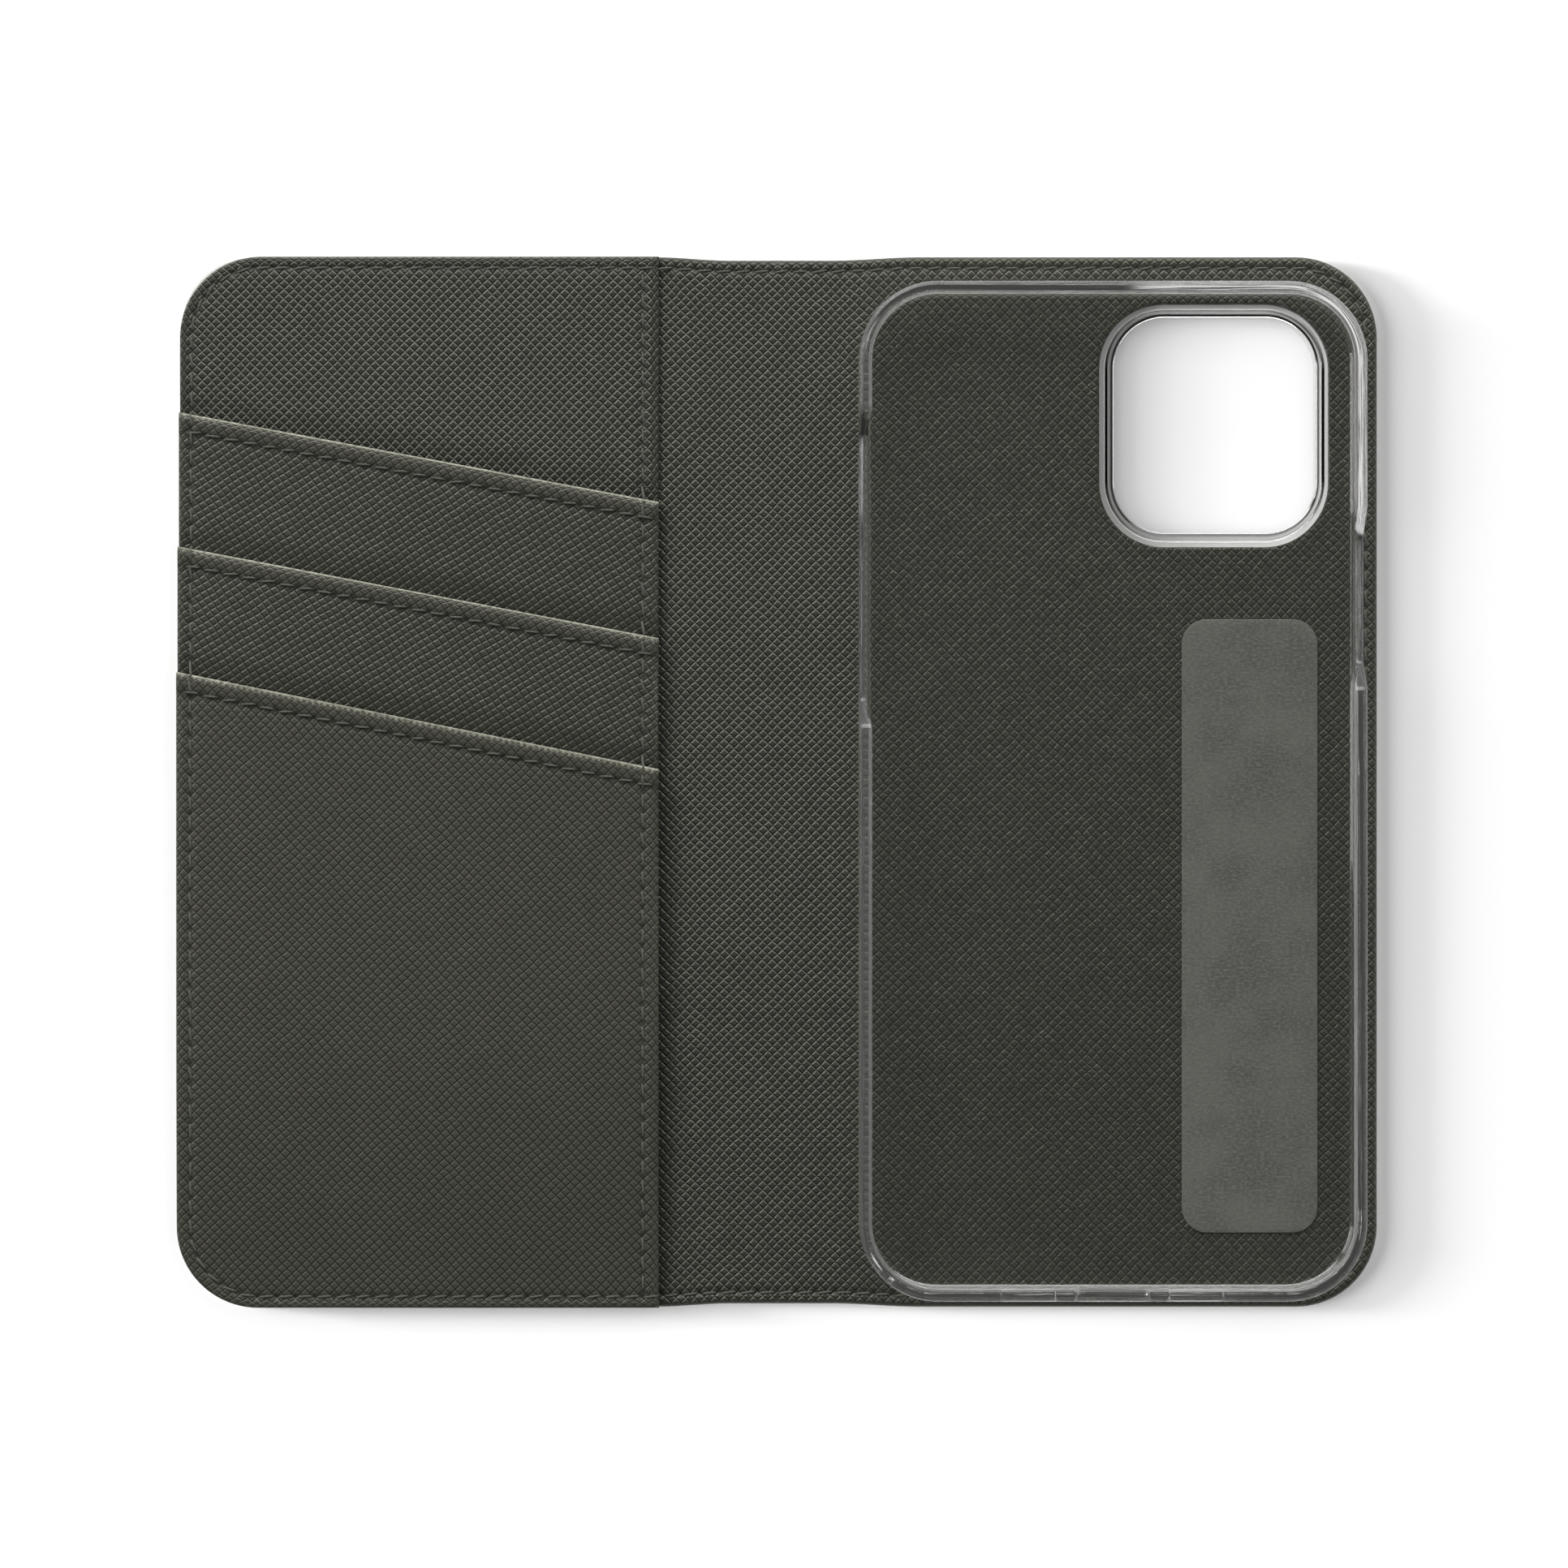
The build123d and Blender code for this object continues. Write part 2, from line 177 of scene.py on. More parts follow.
class Outline:
    """A rounded rectangle, cut by straight edges and by joins. Both are (normal, reach) pairs.

    An edge is rolled and sewn like the rest. A join only parts one sheet into two pieces.
    """

    def __init__(self, low_corner, high_corner, radius, edges=(), joins=()):
        self.low = np.array(low_corner, float)
        self.high = np.array(high_corner, float)
        self.radius = radius
        self.edges = [(np.array(normal), reach) for normal, reach in edges]
        self.joins = [(np.array(normal), reach) for normal, reach in joins]

    def ring(self, inset, step):
        """The outline set in by inset, counter-clockwise, with points about step apart."""
        x0, y0 = self.low + inset
        x1, y1 = self.high - inset
        r = max(self.radius - inset, 0.2)
        turns = max(4, ceil(r * pi / 2 / step))
        middles = ((x1 - r, y1 - r), (x0 + r, y1 - r), (x0 + r, y0 + r), (x1 - r, y0 + r))
        points = []
        for quarter, middle in enumerate(middles):
            for turn in range(turns + 1):
                angle = pi / 2 * (quarter + turn / turns)
                points.append(np.array(middle) + (r * cos(angle), r * sin(angle)))
        for normal, reach in [(normal, reach - inset) for normal, reach in self.edges] + self.joins:
            points = clipped(points, normal, reach)
        return divided(points, step)

    def depth(self, xy):
        """How far in each point is from the nearest edge. It is negative outside."""
        half = (self.high - self.low) / 2
        past = np.abs(xy - (self.low + self.high) / 2) - half + self.radius
        depth = self.radius - np.linalg.norm(np.maximum(past, 0), axis=1)
        depth = depth - np.minimum(past.max(axis=1), 0)
        for normal, reach in self.edges:
            depth = np.minimum(depth, reach - xy @ normal)
        return depth

    def room(self, xy):
        """How far in each point is from the nearest join."""
        room = np.full(len(xy), np.inf)
        for normal, reach in self.joins:
            room = np.minimum(room, reach - xy @ normal)
        return room

    def outward(self, xy):
        """The direction of the nearest edge from each point."""
        nudge = 0.01
        slope_x = self.depth(xy + (nudge, 0)) - self.depth(xy - (nudge, 0))
        slope_y = self.depth(xy + (0, nudge)) - self.depth(xy - (0, nudge))
        return -np.stack((slope_x, slope_y), 1) / (2 * nudge)


def settled(points):
    """Points of soft pieces, with the spine drawn in at its ends and the leather uneven."""
    x, y, z = np.array(points, float).T
    waist = WAIST * smooth(-18, -7, x) * smooth(21, 8, x)
    y = y * (1 - waist / case_high[1])
    swell = 0.10 * np.sin(x / 16 + 1.0) * np.sin(y / 21 + 2.0) + 0.05 * np.sin(x / 7 + y / 17)
    swell = swell * smooth(6, -6, x)
    crown = smooth(0, 14, np.minimum(panel_right - x, x - case_low[0]))
    crown = crown * smooth(0, 16, case_high[1] - np.abs(y)) * np.clip(z - cover_top, 0, 3) * 0.07
    z = z + swell * np.clip(z / cover_top, 0, 1) + crown
    return np.stack((x, y, z), 1)


# ---- meshes ----


def placed(name, data):
    """A new object in the scene."""
    made = bpy.data.objects.new(name, data)
    scene.collection.objects.link(made)
    return made


def object_of(name, points, faces, sharp=40):
    """A smooth-shaded object with its points in millimetres."""
    mesh = bpy.data.meshes.new(name)
    mesh.from_pydata((np.array(points) * MM).tolist(), [], faces)
    mesh.validate()
    mesh.shade_smooth()
    mesh.set_sharp_from_angle(angle=radians(sharp))
    return placed(name, mesh)


def give_uv(made, uv):
    """Lays a piece out flat in millimetres, so that its grain stays with it when it bends."""
    layer = made.data.uv_layers.new(name="grain")
    corners = np.zeros(len(made.data.loops), np.int32)
    made.data.loops.foreach_get("vertex_index", corners)
    layer.data.foreach_set("uv", uv[corners].astype(np.float32).ravel())


def give_attribute(made, name, values, rest=0.0):
    """A number at each vertex, for a material to read. Vertices past the values get rest."""
    numbers = np.full(len(made.data.vertices), rest, np.float32)
    numbers[: len(values)] = values
    made.data.attributes.new(name, "FLOAT", "POINT").data.foreach_set("value", numbers)


def filled(loops, inner):
    """Triangles between convex loops, the outline's first and then its hole's, over inner points.

    It gives the points, the triangles, and where each loop's points are among the points.
    """
    points = np.concatenate([*loops, inner])
    edges, rings = [], []
    start = 0
    for loop in loops:
        ring = list(range(start, start + len(loop)))
        edges += zip(ring, ring[1:] + ring[:1])
        rings.append(ring)
        start += len(loop)
    found, _, faces, sources, _, _ = delaunay_2d_cdt(points.tolist(), edges, [], 1, 0.0001)
    xy = np.array([tuple(point) for point in found])
    faces = np.array(faces)
    place = {source: i for i, group in enumerate(sources) for source in group}
    rings = [[place[i] for i in ring] for ring in rings]
    if rings[1:]:
        faces = faces[~np.isin(faces, rings[1]).all(axis=1)]
    return xy, faces, rings


def triangulated(outline, hole, insets, step):
    """Points over an outline and the triangles between them, and the index loops of its edges.

    insets are (inset, spacing) pairs for the rings of points near the edges, the edge's own first.
    """
    last = insets[-1][0]
    rings = [outline.ring(inset, spacing) for inset, spacing in insets]
    loops, inner = rings[:1], rings[1:]
    if hole:
        rings = [hole.ring(-inset, spacing) for inset, spacing in insets]
        loops += rings[:1]
        inner += rings[1:]
    inner = np.concatenate(inner)
    inner = inner[outline.room(inner) > 0.2]
    columns = np.arange(outline.low[0], outline.high[0] + step, step)
    rows = np.arange(outline.low[1], outline.high[1] + step, step * 0.866)
    grid = np.stack(np.meshgrid(columns, rows), -1)
    grid[1::2, :, 0] += step / 2
    grid = grid.reshape(-1, 2)
    kept = (outline.depth(grid) > last + 0.6 * step) & (outline.room(grid) > 0.5 * step)
    if hole:
        kept &= hole.depth(grid) < -last - 0.6 * step
        inner = inner[(outline.depth(inner) > 0.001) & (hole.depth(inner) < -0.001)]
    return filled(loops, np.concatenate((inner, grid[kept])))


def wall_faces(near, far, inward):
    """The quads between two loops of the same length."""
    faces = []
    for i in range(len(near)):
        j = (i + 1) % len(near)
        quad = (far[i], far[j], near[j], near[i])
        faces.append(quad[::-1] if inward else quad)
    return faces


NEAR_STEP = 1.6
NEAR_INSETS = (1.0, 1.25, 1.5, 1.7, 1.9, 2.2, 2.6, 3.0, 3.5, 4.2)


def grain_map(outline, points, level, roll, turn):
    """Where each point of a sheet lies once its rolled edge is opened out and its grain turned."""
    xy = points[:, :2]
    drop = np.abs(points[:, 2] - level) * (outline.depth(xy) < roll + 0.05)
    angle = radians(turn)
    spin = np.array(((cos(angle), sin(angle)), (-sin(angle), cos(angle))))
    return (xy + outline.outward(xy) * drop[:, None]) @ spin


def sheet(name, outline, near, far, roll, hole=None, turn=0.0, faces_down=False, seams=(),
          relief=1.0, shade=None, painted_highlight=None, groove=0.08, far_step=3.0):
    """A closed sheet between two height functions of xy.

    near is the side that shows, with rings of points for its rolled edge and its seams. turn is
    how far the grain is turned, in degrees, and relief is how deep it is, alone or as a function.
    """
    edge = [(roll * (1 - cos(radians(a))), 0.9) for a in (0, 25, 45, 65, 90)]
    insets = edge + [(inset, 0.55 if 1 < inset < 3 else 0.9) for inset in NEAR_INSETS]
    near_xy, near_faces, near_loops = triangulated(outline, hole, insets, NEAR_STEP)
    far_xy, far_faces, far_loops = triangulated(outline, hole, [(0, 0.9), (0.6, 1.5)], far_step)
    line_off, hole_off = seam_distances(near_xy, seams)
    sign = -1 if faces_down else 1
    pressed = groove * hump(line_off, GROOVE_WIDTH) + HOLE_DEPTH * hump(hole_off, HOLE_WIDTH)
    near_z = near(near_xy) - sign * pressed
    far_side = np.column_stack((far_xy, far(far_xy)))
    points = np.concatenate((np.column_stack((near_xy, near_z)), far_side))
    count = len(near_xy)
    faces = near_faces.tolist() + (far_faces[:, ::-1] + count).tolist()
    for index, (near_loop, far_loop) in enumerate(zip(near_loops, far_loops)):
        faces += wall_faces(near_loop, [count + i for i in far_loop], inward=index == 1)
    if faces_down:
        faces = [face[::-1] for face in faces]
    made = object_of(name, settled(points), faces)
    level = near(np.array([(outline.low + outline.high) / 2]))[0]
    give_uv(made, grain_map(outline, points, level, roll, turn))
    # Painted shade: the leather's colour is darkened in each needle hole, along each seam's line,
    # and where a shade function gives the shadow of an edge.
    painted_shades = np.maximum(0.25 * hump(line_off, 0.3), hump(hole_off, 0.34))
    if shade:
        painted_shades = np.maximum(painted_shades, shade(near_xy))
    give_attribute(made, "painted_shade", painted_shades)
    depths = relief(near_xy) if callable(relief) else np.full(count, relief)
    depths = depths * (1 - 0.35 * hump(line_off, 0.4)) * smooth(-0.3, 0.6, outline.depth(near_xy))
    give_attribute(made, "relief", depths, rest=0.2)
    # Where a painted highlight lies, as a light line along a pocket's fold.
    give_attribute(made, "painted_highlight", painted_highlight(points[:, :2]) if painted_highlight else ())
    return made


# ---- seams ----


class Seam:
    """A row of stitches along a path, and the needle holes between them."""

    def __init__(self, path, closed=False):
        path = np.array(path, float)
        if closed:
            path = np.concatenate((path, path[:1]))
        along = np.concatenate(([0], np.cumsum(np.linalg.norm(np.diff(path, axis=0), axis=1))))
        count = round(along[-1] / STITCH_PITCH)
        pitch = along[-1] / count

        def at(distance):
            return np.stack([np.interp(distance, along, path[:, i]) for i in range(2)], 1)

        self.holes = at(pitch * np.arange(count + (not closed)))
        middles = pitch * (np.arange(count) + 0.5)
        self.centres = at(middles)
        way = at(middles + 0.5) - at(middles - 0.5)
        self.ways = way / np.linalg.norm(way, axis=1)[:, None]
        self.line = at(np.arange(0, along[-1], 0.12))


def nearest(xy, targets):
    """The distance from each point to the nearest target."""
    tree = kdtree.KDTree(len(targets))
    for i, (x, y) in enumerate(targets):
        tree.insert((x, y, 0), i)
    tree.balance()
    return np.array([tree.find((x, y, 0))[2] for x, y in xy])


def seam_distances(xy, seams):
    """How far each point is from the nearest seam's line, and from the nearest needle hole."""
    if not seams:
        return [np.full(len(xy), np.inf)] * 2
    lines = np.concatenate([s.line for s in seams])
    holes = np.concatenate([s.holes for s in seams])
    return nearest(xy, lines), nearest(xy, holes)


def stitches(name, seam, height, side=1, wanted=lambda centre: True):
    """The thread that shows on one side of a seam, as one short bent piece for each stitch.

    height gives the bed of the stitches at xy, and side is 1 above the leather and -1 below it.
    """
    along = np.linspace(-1, 1, 9)
    around = np.linspace(0, 2 * pi, 8, endpoint=False)
    points, faces, uv = [], [], []
    for centre, way in zip(seam.centres, seam.ways):
        if not wanted(centre):
            continue
        across = np.array((-way[1], way[0]))
        skew = STITCH_SKEW * (1 + 0.4 * random.standard_normal())
        length = STITCH_LENGTH * (1 + 0.03 * random.standard_normal())
        spine = centre + np.outer(along * length / 2, way) + np.outer(along * skew, across)
        level = height(spine)
        ends = np.interp(along, (-1, 1), (level[0], level[-1]))
        level = np.maximum(level, ends) if side > 0 else np.minimum(level, ends)
        lift = 0.12 - 0.40 * np.abs(along) ** 3.5
        girth = THREAD_RADIUS * (1 - 0.45 * np.abs(along) ** 4)
        start = len(points)
        for i, place in enumerate(spine):
            for angle in around:
                offset = across * girth[i] * cos(angle)
                rise = side * (lift[i] + girth[i] * 0.85 * sin(angle))
                points.append((*(place + offset), level[i] + rise))
                uv.append((along[i] * length / 2, angle * THREAD_RADIUS))
        faces += tube_faces(start, len(along), len(around), flip=side > 0)
    made = object_of(name, settled(points), faces, sharp=80)
    give_uv(made, np.array(uv))
    return made


def tube_faces(start, rings, sides, flip=False):
    """The faces of a tube of rings, with both ends closed."""
    faces = []
    for ring in range(rings - 1):
        for side in range(sides):
            a = start + ring * sides + side
            b = start + ring * sides + (side + 1) % sides
            faces.append((a, a + sides, b + sides, b))
    faces.append([start + side for side in range(sides)])
    last = start + (rings - 1) * sides
    faces.append([last + side for side in reversed(range(sides))])
    return [face[::-1] for face in faces] if flip else faces


# ---- the outlines of the leather ----

case_outline = Outline(case_low, case_high, CASE_CORNER)
camera_hole = Outline(camera_middle - CAMERA_CUT / 2, camera_middle + CAMERA_CUT / 2, CAMERA_CORNER)


def panel_outline(node):
    """A pocket panel: the case's outline up to the free edge, below the mouth, above the floor."""
    left, bottom, _ = low(node)
    _, top, _ = high(node)
    edges = [((1, 0), panel_right)]
    if node in POCKETS:
        slope = MOUTH_DROPS[POCKETS.index(node)] / (panel_right - left)
        normal = np.array((slope, 1)) / hypot(slope, 1)
        edges.append((normal, normal @ (left, top)))
    if bottom > case_low[1] + 1:
        edges.append(((0, -1), -bottom))
    return Outline((left, case_low[1]), case_high, CASE_CORNER, edges)


outlines = {node: panel_outline(node) for node in PANELS}
floors = [low(node)[1] for node in POCKETS if low(node)[1] > case_low[1] + 1]


def mouth_depth(node, xy):
    """How far below a pocket's mouth each point is."""
    normal, reach = outlines[node].edges[1]
    return reach - xy @ normal


def panel_level(node, xy):
    """The upper face of a panel before its edges are rolled. It sinks past each hidden floor."""
    level = np.full(len(xy), high(node)[2])
    covered = PANELS.index(node) - 1
    step = high(POCKETS[1])[2] - high(POCKETS[0])[2]
    for floor in floors[: max(covered, 0)]:
        level = level - step * smooth(floor, floor - FLOOR_SPREAD, xy[:, 1])
    return level


def cover_gap(node, xy):
    """How far each point of a panel is from the mouth of the panel above, and 0 under it."""
    above = PANELS[PANELS.index(node) + 1 :]
    return np.maximum(-mouth_depth(above[0], xy), 0) if above else np.full(len(xy), np.inf)


def cover_shade(node, xy):
    """How dark the edge of the panel above makes each point."""
    gap = cover_gap(node, xy)
    return 0.55 * np.exp(-gap / 0.5) + 0.35 * np.exp(-gap / 2.2)


def panel_top(node, xy):
    """The upper face of a panel: its level, its folded hem and its rolled edges."""
    top = panel_level(node, xy) - MOUTH_DIP * smooth(3.5, 0, cover_gap(node, xy))
    if node in POCKETS:
        depth = mouth_depth(node, xy)
        top = top + HEM_HEIGHT * smooth(MOUTH_SEAM + 0.5, MOUTH_SEAM - 0.3, depth)
        top = top - rolled(depth, FOLD_ROUND)
    sides = Outline(outlines[node].low, outlines[node].high, CASE_CORNER, outlines[node].edges[:1])
    return top - rolled(sides.depth(xy), PANEL_ROLL)


def flat_at(level):
    """The height function of a flat face."""
    return lambda xy: np.full(len(xy), level)


def lining_top(xy):
    """The upper face of the lining, rolled down at the case's edge and at the camera's cut."""
    top = cover_top - rolled(case_outline.depth(xy), LINING_ROLL)
    return top - rolled(-camera_hole.depth(xy), CUT_ROLL)


def lining_underside(xy):
    """The lining's lower face: on the boards, and down on the outer leather along the edge."""
    depth = np.minimum(case_outline.depth(xy), -camera_hole.depth(xy) + BOARD_CUT_ROOM)
    return skin_top + (board_top - skin_top) * smooth(*BOARD_EDGE, depth)


def shown_height(xy):
    """Where stitches lie at each point, pressed into the uppermost leather."""
    top = lining_top(xy)
    for node in PANELS:
        inside = outlines[node].depth(xy) >= 0
        top = np.where(inside, np.maximum(top, panel_top(node, xy)), top)
    return top - STITCH_SINK


# ---- where the stitches run ----

perimeter = Seam(case_outline.ring(SEAM_INSET, 0.4), closed=True)
seam_end = case_high[1] - SEAM_INSET - 0.6
edge_seam_x = panel_right - EDGE_SEAM
edge_seam = Seam([(edge_seam_x, seam_end), (edge_seam_x, -seam_end)])


def mouth_path(node):
    """The line of a mouth's stitches, from edge to edge of its panel."""
    left = outlines[node].low[0] + 0.9
    right = panel_right - 0.7
    normal, reach = outlines[node].edges[1]
    return [(x, (reach - MOUTH_SEAM - normal[0] * x) / normal[1]) for x in (left, right)]


mouth_seams = {node: Seam(mouth_path(node)) for node in POCKETS}

# ---- finishes ----


class Nodes:
    """A node tree, with short calls for what a finish is made of."""

    def __init__(self, owner):
        owner.use_nodes = True
        self.owner = owner
        self.tree = owner.node_tree
        self.tree.nodes.clear()

    def node(self, kind, inputs=(), **settings):
        made = self.tree.nodes.new(kind)
        for key, value in settings.items():
            setattr(made, key, value)
        for key, value in dict(inputs).items():
            if isinstance(value, bpy.types.NodeSocket):
                self.tree.links.new(value, made.inputs[key])
            else:
                made.inputs[key].default_value = value
        return made

    def math(self, operation, *values):
        return self.node("ShaderNodeMath", enumerate(values), operation=operation).outputs[0]

    def ranged(self, value, start, end, low_value=0.0, high_value=1.0, curve="SMOOTHSTEP"):
        inputs = {"Value": value, "From Min": start, "From Max": end}
        inputs |= {"To Min": low_value, "To Max": high_value}
        return self.node("ShaderNodeMapRange", inputs, interpolation_type=curve).outputs["Result"]

    def noise(self, vector, scale, detail=2.0, roughness=0.5, output="Fac"):
        inputs = {"Vector": vector, "Scale": scale, "Detail": detail, "Roughness": roughness}
        return self.node("ShaderNodeTexNoise", inputs).outputs[output]

    def vector(self, operation, *values):
        return self.node("ShaderNodeVectorMath", enumerate(values), operation=operation).outputs[0]

    def mixed(self, factor, a, b, share=1.0):
        if share != 1:
            factor = self.math("MULTIPLY", factor, share)
        inputs = {0: factor, 6: a, 7: b}
        return self.node("ShaderNodeMix", inputs, data_type="RGBA", clamp_factor=True).outputs[2]

    def attribute(self, name):
        return self.node("ShaderNodeAttribute", attribute_name=name).outputs["Fac"]

    def flat_map(self):
        return self.node("ShaderNodeUVMap", uv_map="grain").outputs[0]

    def object_map(self, kind="Object"):
        return self.node("ShaderNodeTexCoord").outputs[kind]

    def bump(self, height, distance, strength=1.0):
        inputs = {"Height": height, "Distance": distance * MM, "Strength": strength}
        return self.node("ShaderNodeBump", inputs).outputs[0]

    def surface(self, **inputs):
        names = (key.replace("_", " ").title().replace("Ior", "IOR") for key in inputs)
        named = dict(zip(names, inputs.values()))
        return self.node("ShaderNodeBsdfPrincipled", named).outputs[0]

    def done(self, shader):
        kind = "World" if isinstance(self.owner, bpy.types.World) else "Material"
        self.node(f"ShaderNodeOutput{kind}", {"Surface": shader})
        return self.owner

    def coated(self, **inputs):
        return self.done(self.surface(**inputs))


def new_coat(name):
    """The empty node tree of a new material."""
    return Nodes(bpy.data.materials.new(name))


def olive(grey, blue=0.80):
    """The case's slightly olive grey. blue is how much blue it keeps."""
    return (grey, grey, blue * grey, 1)


def crosshatch_leather():
    """Olive-grey coated leather, pressed with a grid of small diamonds."""
    coat = new_coat("lining_leather")
    flat = coat.flat_map()
    drift = coat.noise(flat, 0.22, 1.0, output="Color")
    drift = coat.vector("SUBTRACT", drift, (0.5, 0.5, 0.5))
    drift = coat.vector("MULTIPLY", drift, (0.55, 0.55, 0.55))
    moved = coat.vector("ADD", flat, drift)
    parts = coat.node("ShaderNodeSeparateXYZ", {0: moved})
    x, y = parts.outputs[0], parts.outputs[1]
    cells, slopes, ups = [], [], []
    for operation, upper_end in (("ADD", 1), ("SUBTRACT", 0)):
        place = coat.math(operation, x, y)
        place = coat.math("MULTIPLY", place, 1 / (sqrt(2) * GRAIN_PITCH))
        cells.append(coat.math("FLOOR", place))
        across = coat.math("FRACT", place)
        upward = across if upper_end else coat.math("SUBTRACT", 1.0, across)
        slopes.append(coat.ranged(upward, 1.0, 0.78, curve="LINEAR"))
        slopes.append(coat.ranged(upward, 0.02, 0.18, curve="LINEAR"))
        ups.append(upward)
    cell = coat.node("ShaderNodeCombineXYZ", dict(enumerate(cells))).outputs[0]
    chance = coat.node("ShaderNodeTexWhiteNoise", {"Vector": cell}, noise_dimensions="2D")
    chance = chance.outputs["Value"]
    diamond = slopes[0]
    for slope_side in slopes[1:]:
        diamond = coat.math("SMOOTH_MIN", diamond, slope_side, 0.06)
    # Painted shade: the lower edges of each diamond, the side turned from the key lamp, are marked
    # to be painted dark.
    groove = coat.ranged(coat.math("MINIMUM", *ups), 0.26, 0.08)
    pebble = coat.noise(moved, 3.2, 2.0, 0.6)
    cloud = coat.noise(flat, 0.045, 3.0, 0.55)
    relief, painted_shade, painted_highlight = (coat.attribute(name) for name in ("relief", "painted_shade", "painted_highlight"))
    height = coat.math("MULTIPLY", diamond, coat.ranged(chance, 0, 1, 0.82, 1.0, "LINEAR"))
    height = coat.math("MULTIPLY", height, relief)
    height = coat.math("MULTIPLY_ADD", pebble, 0.16, height)
    tone = coat.mixed(cloud, olive(0.038), olive(0.052))
    # Painted light: shallow grain is painted lighter and deep grain darker, to even out how bright
    # the grain's highlights make each panel.
    tone = coat.mixed(coat.ranged(relief, 0.65, 0.45, 0.0, 0.33), tone, olive(0.1))
    tone = coat.mixed(coat.ranged(relief, 0.7, 1.0, 0.0, 0.35), tone, olive(0.015))
    tone = coat.mixed(chance, tone, olive(0.075), 0.16)
    tone = coat.mixed(pebble, tone, olive(0.026), 0.22)
    # Painted shade on the diamonds' lower edges, stronger where the grain is deeper.
    dark = coat.math("MULTIPLY", groove, coat.ranged(relief, 0, 1, 0.45, 1.0, "LINEAR"))
    tone = coat.mixed(dark, tone, olive(0.004))
    # Painted highlight: a light line along each mouth's fold, uneven in strength along it.
    highlight_strength = coat.ranged(coat.noise(flat, 1.1, 3.0), 0.3, 0.7, 0.3, 0.75)
    tone = coat.mixed(coat.math("MULTIPLY", painted_highlight, highlight_strength), tone, olive(0.6))
    # Painted shade: needle holes, seam lines and the shadows beside panel edges are darkened.
    tone = coat.mixed(painted_shade, tone, olive(0.004), 0.9)
    return coat.coated(
        base_color=tone,
        roughness=coat.ranged(pebble, 0.3, 0.7, 0.34, 0.44, "LINEAR"),
        specular_IOR_level=0.55,
        specular_tint=(1.0, 1.0, 0.88, 1),
        normal=coat.bump(height, 0.14),
    )


def outer_leather():
    """Smooth off-white coated leather with a very fine pebble."""
    coat = new_coat("outer_leather")
    flat = coat.flat_map()
    cloud = coat.noise(flat, 0.035, 3.0)
    pebble = coat.node("ShaderNodeTexVoronoi", {"Vector": flat, "Scale": 1.6})
    pebble = coat.math("ADD", pebble.outputs["Distance"], coat.noise(flat, 4.0, 3.0))
    tone = coat.mixed(cloud, (0.80, 0.79, 0.76, 1), (0.86, 0.855, 0.83, 1))
    # Painted shade: the needle holes and the seam's line are darkened.
    tone = coat.mixed(coat.attribute("painted_shade"), tone, (0.22, 0.21, 0.19, 1), 0.7)
    return coat.coated(
        base_color=tone,
        roughness=coat.ranged(pebble, 0.2, 1.2, 0.34, 0.48, "LINEAR"),
        specular_IOR_level=0.5,
        normal=coat.bump(pebble, 0.05, 0.6),
    )


def yarn(name, dark, light):
    """Twisted sewing thread. The flat map runs along the stitch, then round it."""
    coat = new_coat(name)
    parts = coat.node("ShaderNodeSeparateXYZ", {0: coat.flat_map()})
    twist = coat.math("MULTIPLY_ADD", parts.outputs[1], 4.35, parts.outputs[0])
    wave = coat.math("SINE", coat.math("MULTIPLY", twist, 10.0))
    wave = coat.math("MULTIPLY_ADD", wave, 0.5, 0.5)
    hair = coat.noise(coat.object_map(), 2600.0, 2.0)
    # Painted shade and highlight: the twist's ridges are painted lighter and the hollows between its
    # plies darker.
    tone = coat.mixed(wave, dark, light)
    tone = coat.mixed(hair, tone, dark, 0.35)
    height = coat.math("MULTIPLY_ADD", hair, 0.4, wave)
    return coat.coated(
        base_color=tone,
        roughness=0.62,
        sheen_weight=0.25,
        sheen_roughness=0.4,
        normal=coat.bump(height, 0.05),
    )


def clear_plastic(name, tint, haze, least_rough, most_rough, passing):
    """Clear moulded plastic. Where it has haze, it is also drawn into streaks along its walls.

    The flat map runs along a wall, then up it. passing is the share of a lamp's light that each
    surface lets straight through.
    """
    coat = new_coat(name)
    smear = coat.noise(coat.object_map(), 45.0, 3.0)
    long_way = coat.vector("MULTIPLY", coat.flat_map(), (0.02, 3.2, 1.0))
    streak = coat.noise(long_way, 1.0, 3.0)
    clear, black = (tint, tint, 0.985 * tint, 1), (0, 0, 0, 1)
    shader = coat.surface(
        # Painted shade: black is mixed into the plastic along two lines of the collar, standing in
        # for the shadowed gap beside it seen through its edges.
        base_color=coat.mixed(coat.attribute("collar_shade_line"), clear, black),
        roughness=coat.ranged(smear, 0.35, 0.75, least_rough, most_rough, "LINEAR"),
        transmission_weight=1.0 - haze,
        IOR=1.5,
        normal=coat.bump(streak, 0.15, 1.0 if haze > 0 else 0.0),
    )
    share = (passing, passing, passing, 1)
    straight = coat.node("ShaderNodeBsdfTransparent", {"Color": share}).outputs[0]
    path = coat.node("ShaderNodeLightPath")
    for ray in ("Is Diffuse Ray", "Is Shadow Ray"):
        inputs = {0: path.outputs[ray], 1: shader, 2: straight}
        shader = coat.node("ShaderNodeMixShader", inputs).outputs[0]
    return coat.done(shader)


